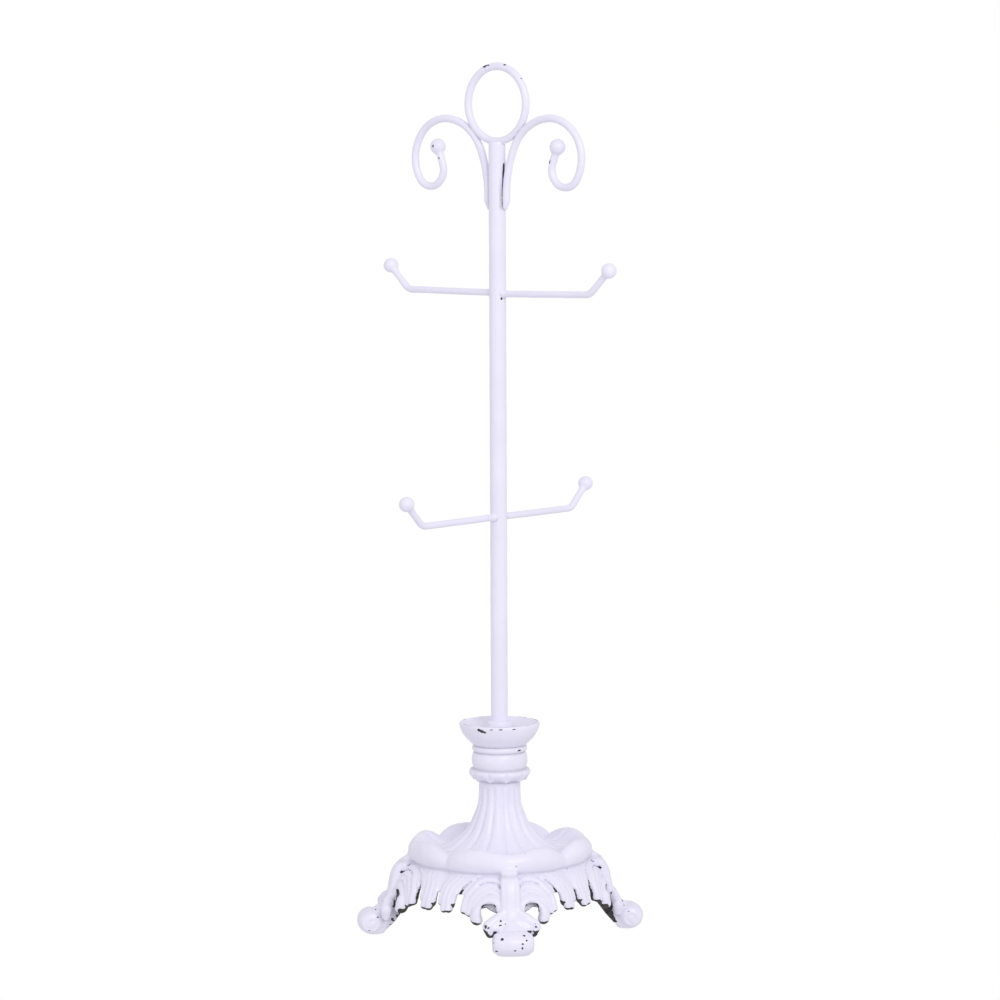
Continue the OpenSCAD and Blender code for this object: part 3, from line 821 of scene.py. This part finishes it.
def casting_wear_and_shade(v, n):
    """How bare, how dirty and how deep in painted shade each vertex of the casting is, from its place
    and its normal.
    """
    x, y, z = v.T
    r = np.hypot(x, y)
    psi = np.abs((np.arctan2(y, x) % (np.pi / 2)) - np.pi / 4)
    outward = (n[:, 0] * x + n[:, 1] * y) / np.maximum(r, 1)
    # position beside the nearest leg: out along the leg, and across it
    d = (np.abs(x) + np.abs(y)) / math.sqrt(2)
    t = np.abs(np.abs(x) - np.abs(y)) / math.sqrt(2)
    front, left = (x > 0) & (y < 0), (x < 0) & (y < 0)
    blot = noise(v.T, 5, 8)

    # bare iron: the hollow's wall, the backs of the leaves and the chips; and the undersides of the
    # leaves, drawn as bare iron, partly unpainted iron and partly painted shade
    hollow = (r < inner_radius(psi, z) + 1.3) & (z > 28) & (z < 80) & (outward < 0.1)
    back = (outward < -0.2) & (r < 61) & (z < 42)
    under = rise(-n[:, 2] - 0.12 + 0.16 * blot, 0, 0.3) * (z < 27) * (z > 7)
    # but only the front leg's nubs are dark underneath
    under = under * np.where((d > 61) & (t > 4.5) & ~front, 0.0, 1.0)
    bare_and_shade = np.maximum.reduce([hollow * 1.0, back * 1.0, under, chips_and_shadow_spot(v)])

    # the shank's underside and flanks, drawn as bare iron, partly unpainted iron and partly painted
    # shade; the left leg's only in patches
    slope = 0.779 * (d - 52.5) + 0.628 * (z - 21)
    facing = (n[:, 0] * np.sign(x) + n[:, 1] * np.sign(y)) / math.sqrt(2)
    shank = fall(slope, 0.6 + 0.46 * (z - 4) + 1.2 * blot, 0.8) * rise(z - 3.0, blot, 1)
    shank = shank * ((z < 23 + 2 * blot) & (facing < 0.3) & (t < 9.6))
    left_patches = rise(noise(v.T, 4, 12), 0.15, 0.15)
    bare_and_shade = np.maximum(bare_and_shade, shank * np.where(left, left_patches, 1.0))

    # painted shade, drawn as bare iron: the cut beside each leaf, where the skirt lies deepest
    cut, _ = to_path(SKIRT_REACH * psi, z, PARTING, np.ones(len(PARTING)))
    lift = r - skirt_radius(psi, z)
    deep = fall(lift, 0.3, 0.8) * np.clip((34.5 - z) / 2.5, 0.35, 1) * fall(cut, 1.7, 1)
    deep = deep * ((r > 44) & (outward > -0.5))
    bare_and_shade = np.maximum(bare_and_shade, deep * np.where(left, 0.6, 0.95))

    # small random specks on the feet
    foot = (d > 63) & (z < 19)
    speck = noise(v.T, 2.6, 9) + 0.5 * noise(v.T, 9, 10)
    bare_and_shade = np.maximum(bare_and_shade, foot * rise(speck, 1.06, 0.2))

    # painted shade in the crease under the petals and on the left leg's shank, and dirt round the
    # specks
    crease = np.clip(1 - np.abs(z - 42.0) / 1.5, 0, 1) * (r > 44) * (outward > -0.2) * 0.42
    shade_and_dirt = np.maximum(crease, shank * left * 0.45)
    shade_and_dirt = np.maximum(shade_and_dirt, foot * rise(speck, 0.45, 0.8) * 0.25)
    return bare_and_shade, shade_and_dirt


def build_casting():
    """The whole pedestal below the collar, which is one casting."""
    v, f = casting_mesh(CASTING_STEP)
    v, f = thin_out(v, f, CASTING_TRIANGLES / (2 * len(f)))
    # the hand of the founder and the brush: a slow swell, and a fine unevenness
    n = vertex_normals(v, f)
    keep = rise(v[:, 2:], 0, 1.5) * fall(v[:, 2:], 88, 2)
    v = v + n * keep * (noise(v.T, 17, 3) * 0.16 + noise(v.T, 6, 4) * 0.10)[:, None]
    bare_and_shade, shade_and_dirt = casting_wear_and_shade(v, n)
    finish_mesh("casting", v, f, "foot_casting", bare_and_shade, shade_and_dirt)


build_casting()

# ---------------------------------------------------------------- the neck's turned rings

NECK_SIDES = 160
LOBES = 10


def scallops(r, z, a):
    """Ten puffed lobes, whose lower edge rises in arches between cusps."""
    k = np.abs((((a - np.pi / LOBES) * LOBES / (2 * np.pi) + 0.5) % 1.0) * 2 - 1)
    arch = (1 - k**2) * 1.7 * fall(z, 92.6, 4.4) ** 1.4 * rise(r, 13.1, 1.3)
    puff = -0.95 * k**5 * rise(z, 88, 2) * fall(z, 95.2, 2.0)
    return r + puff * (r > 13.2), z + arch


def turned_piece(name, node, seed, profile, shade_and_dirt, ripple=None, bare_and_shade=None):
    """One ring of the neck from its profile, with painted shade given by radius and height."""
    v, f = lathe(smooth(profile, 4), NECK_SIDES, ripple, seed)
    r, z = np.hypot(v[:, 0], v[:, 1]), v[:, 2]
    worn = chips_and_shadow_spot(v)
    if bare_and_shade is not None:
        worn = np.maximum(worn, bare_and_shade(v, r, z))
    finish_mesh(name, v, f, node, worn, shade_and_dirt(r, z))


def dish_rim(v, r, z):
    """Broken stretches along the dish's rim where the paint has worn thin."""
    broken = noise(v.T, 9, 21) > 0.05
    return np.clip(1.25 - np.abs(r - 22.3) / 0.5, 0, 1) * (z > 120.6) * broken * 0.62


turned_piece(
    "collar", "scalloped_collar", 11,
    [(11.0, 87.4), (12.9, 87.6), (13.6, 87.9), (14.8, 87.9), (15.6, 88.3), (16.6, 89.6),
     (17.5, 91.4), (17.8, 92.7), (17.3, 94.1), (16.0, 94.9), (14.6, 95.2), (12.0, 95.2)],
    # painted shade where the collar meets the barrel, and a painted shadow line under its arches
    lambda r, z: np.maximum(rise(z, 93.8, 1.0) * 0.5, fall(r, 14.3, 0.7) * (z < 91) * 0.7),
    ripple=scallops,
)
turned_piece(
    "barrel", "neck_barrel", 12,
    [(12.5, 94.8), (14.9, 94.9), (15.2, 95.5), (15.75, 97.2), (16.1, 99.4),
     (15.95, 101.6), (15.5, 103.3), (15.0, 104.2), (14.6, 104.7), (12.5, 104.8)],
    # painted shade where the barrel meets the collar and the bead
    lambda r, z: np.maximum(fall(z, 95.9, 0.8), rise(z, 103.6, 0.8)) * 0.5,
)
turned_piece(
    "bead", "bead_ring", 13,
    [(12.5, 104.4), (14.4, 104.5), (14.75, 104.9), (15.4, 105.4), (15.9, 106.3),
     (15.85, 107.3), (15.3, 108.1), (14.9, 108.5), (12.5, 108.6)],
    # painted shade where the bead meets the barrel and the dish
    lambda r, z: np.maximum(fall(z, 105.2, 0.5), rise(z, 107.8, 0.5)) * 0.6,
)
turned_piece(
    "dish", "drip_dish", 14,
    [(12.5, 108.4), (15.0, 108.5), (15.6, 109.0), (17.2, 110.6), (19.7, 113.1), (21.5, 115.7),
     (22.7, 118.5), (23.2, 120.4), (22.9, 121.4), (22.2, 121.6), (21.4, 121.2), (19.6, 119.9),
     (16.5, 118.8), (13.0, 118.3), (10.2, 118.5), (9.0, 118.9), (8.2, 119.0), (4.0, 119.0)],
    # painted shade on the dish's underside and on its floor round the post
    lambda r, z: np.maximum(fall(z, 110.2, 1.6) * 0.4, fall(r, 13, 4) * (z > 117) * 0.25),
    bare_and_shade=dish_rim,
)
turned_piece(
    "flange", "post_flange", 15,
    [(8.9, 118.2), (8.8, 119.1), (8.2, 119.4), (7.35, 119.6), (7.15, 120.2), (7.1, 121.2),
     (6.8, 121.9), (6.2, 122.2), (5.4, 122.3), (4.7, 122.6), (4.4, 123.4)],
    # painted shade at the flange's foot, where it meets the dish
    lambda r, z: fall(z, 119.9, 0.8) * 0.35,
)

# ---------------------------------------------------------------- the post

POST_RADIUS = 4.82
POST_SIDES = 64
POST_FOOT, POST_SHOULDER, POST_TOP = 118.2, 454.0, 455.55
POST_CAP = [(4.8, 454.4), (4.65, 454.9), (4.2, 455.3), (3.4, 455.5)]


def build_post():
    """A plain tube with a low domed cap, closed by a point on its axis."""
    shaft = [(POST_RADIUS, z) for z in np.arange(POST_FOOT, POST_SHOULDER, 2.0)]
    v, f = lathe(shaft + POST_CAP, POST_SIDES, None, 31, 0.07)
    top = len(v)
    last = top - POST_SIDES
    v = np.vstack([v, [[0, 0, POST_TOP]]])
    f = f.tolist() + [[top, last + k, last + (k + 1) % POST_SIDES] for k in range(POST_SIDES)]
    x, _, z = v.T
    # painted shade: a dark line where each scroll lies against the post
    line = rise(np.abs(x), 3.6, 1) * rise(z, 416.5, 1.5) * fall(z, 436, 9)
    # and on the right a deeper painted shadow, drawn as bare iron
    bare_and_shade = rise(x, 4.6, 0.2) * rise(z, 418, 1.5) * fall(z, 446, 6)
    finish_mesh("post", v, f, "post_tube", np.maximum(chips_and_shadow_spot(v), bare_and_shade), line * 0.9)


build_post()

# ---------------------------------------------------------------- the hooks and the finial

WIRE_SIDES = 32
BALL_SIDES = 40
PATH_STEP = 0.8


def arc_steps(steps, start, heading):
    """Points along straights [length] and bends [radius, degrees], in a plane: (across, up)."""
    pts = [np.array(start, float)]
    h = math.radians(heading)
    for s in steps:
        length = s[0] if len(s) == 1 else s[0] * math.radians(abs(s[1]))
        n = max(2, int(length / PATH_STEP))
        turn = 0 if len(s) == 1 else math.radians(s[1]) / n
        for _ in range(n):
            h += turn / 2
            pts.append(pts[-1] + length / n * np.array([math.sin(h), math.cos(h)]))
            h += turn / 2
    return np.array(pts)


def end_direction(path):
    """Unit vector along the last of a path."""
    d = path[-1] - path[-3]
    return d / np.linalg.norm(d)


def ball(name, node, centre, d, radius, wire, seed):
    """A pressed-on ball, with a fillet of paint where the wire goes in along direction d."""
    a = np.linspace(0.0, np.pi, 30)
    s, rad = -radius * np.cos(a), radius * np.sin(a)
    # the fillet starts on the wire and meets the ball just past the wire's mouth
    neck = np.sqrt(radius**2 - wire**2)
    meet = -neck + 0.5
    back = np.linspace(-neck - 1.6, meet, 7)[:-1]
    t = (back - back[0]) / (meet - back[0])
    edge = math.sqrt(radius**2 - (neck - 0.5) ** 2)
    fillet = wire + 0.05 + (edge - wire - 0.05) * t**2.2
    keep = s > meet
    s, rad = np.concatenate([back, s[keep]]), np.concatenate([fillet, rad[keep]])
    rad[-1] = 0.02
    path = centre + s[:, None] * d
    side = np.cross(d, [0.31, 0.95, 0.05])
    side /= np.linalg.norm(side)
    up = np.cross(d, side)
    spin = np.linspace(0, 2 * np.pi, BALL_SIDES, endpoint=False)[:, None]
    around = np.cos(spin) * side + np.sin(spin) * up
    v = (path[:, None] + rad[:, None, None] * around).reshape(-1, 3)
    n = noise(v.T, 8, seed) * 0.022 + noise(v.T, 3.2, seed + 3) * 0.01
    v = centre + (v - centre) * (1 + n)[:, None]
    finish_mesh(name, v, grid_faces(len(s), BALL_SIDES), node, chips_and_shadow_spot(v))


# Radii of a hook's wire and ball, and how far past the wire's end the ball's centre lies
HOOK_WIRE, HOOK_BALL, HOOK_BALL_PAST = 1.9, 4.25, 1.6
# Distance out to a hook's start, inside the post so that only its weld's fillet shows, to its
# bend, and to where it has risen by its lift
HOOK_ROOT, HOOK_BEND, HOOK_LIFTED = 3.2, 63.79, 66
HOOK_STEPS = [[HOOK_BEND - HOOK_ROOT], [8, -45], [14.2]]


def hook(name, azimuth, z, lift, seed):
    """A bent wire and its ball. The lift is the rise of its straight, as the wires aren't level."""
    pts = arc_steps(HOOK_STEPS, (HOOK_ROOT, 0), 90)
    a = math.radians(azimuth)
    along, up = pts.T
    height = z + up + lift * along / HOOK_LIFTED
    path = np.stack([along * math.cos(a), along * math.sin(a), height], 1)
    s = line_length(path)
    # thick with weld at the post, and a touch thicker in the bend
    weld = np.maximum(s - 1.0, 0)
    radii = HOOK_WIRE + 1.1 * ridge(weld, 1.3) + 0.06 * ridge(s - 64, 6)
    v, f = sweep(path, radii, WIRE_SIDES, seed, 0.12, 0.022)
    # painted shade under the weld, and none at the wire's two end points
    g = np.repeat(ridge(weld, 1.1) * 0.5, WIRE_SIDES)
    g = np.concatenate([g * np.clip(0.3 - (v[:-2, 2] - z) / 2, 0, 1), [0, 0]])
    finish_mesh("wire_" + name, v, f, "hook_" + name, chips_and_shadow_spot(v), g)
    d = end_direction(path)
    centre = path[-1] + d * HOOK_BALL_PAST
    ball("knob_" + name, "ball_" + name, centre, d, HOOK_BALL, HOOK_WIRE, seed + 5)


hook("upper_left", 180, 369.2, 0.3, 41)
hook("upper_right", 0, 368.6, 1.2, 42)
hook("lower_front", 270, 240.5, 0.1, 43)
hook("lower_back", 90, 240.5, -0.2, 44)

# The ring's centre height and radius, and the radius of the finial's wire
RING_Z, RING_R, WIRE = 476.65, 21.2, 2.15
RING_STEPS = 240
# Radius of a scroll's ball, how far past the wire's end its centre lies, and the wire's radius there
SCROLL_BALL, SCROLL_BALL_PAST, SCROLL_MOUTH = 4.45, 2.1, 2.1
# A scroll's path, from its lower end beside the post, and how many of its points pass the ring
SCROLL_START = (6.75, RING_Z - 59.6)
SCROLL_STEPS = [[7], [70, 22], [28.9, 68], [22.6, 120], [9.8, 170], [8.2]]
SCROLL_NEAR = 80


def scroll_line(side):
    """Centre line of a scroll, from its ground lower end round to its ball."""
    across, up = arc_steps(SCROLL_STEPS, SCROLL_START, 0).T
    return np.stack([side * across, 0 * across, up], 1)


def seam(v):
    """Painted shade in the narrow gap beside each scroll."""
    gap = np.full(len(v), FAR)
    for side in (-1, 1):
        for p in scroll_line(side)[:SCROLL_NEAR]:
            gap = np.minimum(gap, np.linalg.norm(v - p, axis=1) - WIRE)
    return np.clip(1 - gap / 0.9, 0, 1) * np.clip(noise(v.T, 5, 53) + 0.75, 0, 1)


def build_ring():
    """The closed ring on top, of the same wire as the scrolls."""
    turn = np.linspace(0, 2 * np.pi, RING_STEPS, endpoint=False)
    spin = np.linspace(0, 2 * np.pi, WIRE_SIDES, endpoint=False)
    a, b = np.meshgrid(turn, spin, indexing="ij")
    r = RING_R + WIRE * np.cos(b)
    v = np.stack([r * np.cos(a), WIRE * np.sin(b), RING_Z + r * np.sin(a)], 2).reshape(-1, 3)
    c = np.stack([RING_R * np.cos(a), 0 * a, RING_Z + RING_R * np.sin(a)], 2).reshape(-1, 3)
    n = noise(v.T, 9, 51) * 0.03 + noise(v.T, 3, 52) * 0.012
    v = c + (v - c) * (1 + n)[:, None]
    faces = grid_faces(RING_STEPS, WIRE_SIDES, True)[:, ::-1]
    finish_mesh("ring", v, faces, "top_ring", chips_and_shadow_spot(v), seam(v))


def scroll(name, side, seed):
    """A scroll and its ball. Side is -1 for the left and 1 for the right."""
    path = scroll_line(side)
    # the lower end is ground to a taper and laid in to the post
    taper = np.clip(1 - line_length(path) / 5.0, 0, 1) ** 1.5
    path[:, 0] -= side * 1.3 * taper
    v, f = sweep(path, WIRE - 1.0 * taper, WIRE_SIDES, seed, 0.1, 0.025)
    finish_mesh("wire_scroll_" + name, v, f, "scroll_" + name, chips_and_shadow_spot(v))
    d = end_direction(path)
    centre, ball_name = path[-1] + d * SCROLL_BALL_PAST, "scroll_ball_" + name
    ball("knob_scroll_" + name, ball_name, centre, d, SCROLL_BALL, SCROLL_MOUTH, seed + 5)


build_ring()
scroll("left", -1, 61)
scroll("right", 1, 62)

# ---------------------------------------------------------------- the hardware under the base

HARDWARE = [("tie_bolt", ZINC), ("tie_washer", ZINC), ("lock_washer", PLAIN), ("post_plug", PLAIN)]
for part, mat in HARDWARE:
    obj = nodes[part]
    if not obj.data.materials:
        obj.data.materials.append(mat)
    for s in obj.material_slots:
        s.material = mat
